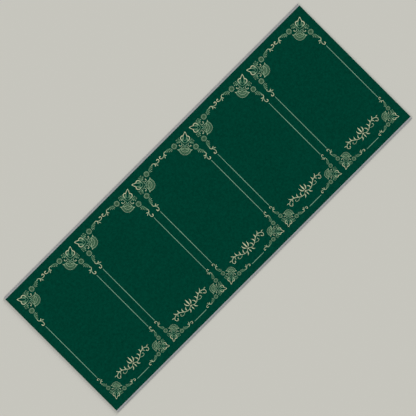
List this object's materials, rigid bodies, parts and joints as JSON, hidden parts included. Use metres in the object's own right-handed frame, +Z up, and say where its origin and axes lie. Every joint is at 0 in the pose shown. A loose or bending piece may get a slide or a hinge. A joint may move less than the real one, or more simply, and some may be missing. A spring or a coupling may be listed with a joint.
{
  "type": "prayer rug",
  "caption": "Long flat prayer rug for a row of people: a pile cloth with gold ornamental frames and two overlocked long edges.",
  "frame": {"origin": "centre of the rug, on the surface that it lies on", "axes": "+X along the rug's length, +Y towards the head side with the larger corner ornaments, +Z up out of the pile"},
  "size_m": [3, 1.17, 0.005],
  "materials": {
    "pile": "short dense green pile, matt with a faint sheen, with gold pile in the ornament",
    "edge_yarn": "grey overlocking yarn, closely stitched, matt"
  },
  "bodies": {
    "root": {"pile_cloth": "pile", "overlock_head": "edge_yarn", "overlock_foot": "edge_yarn"}
  },
  "joints": []
}
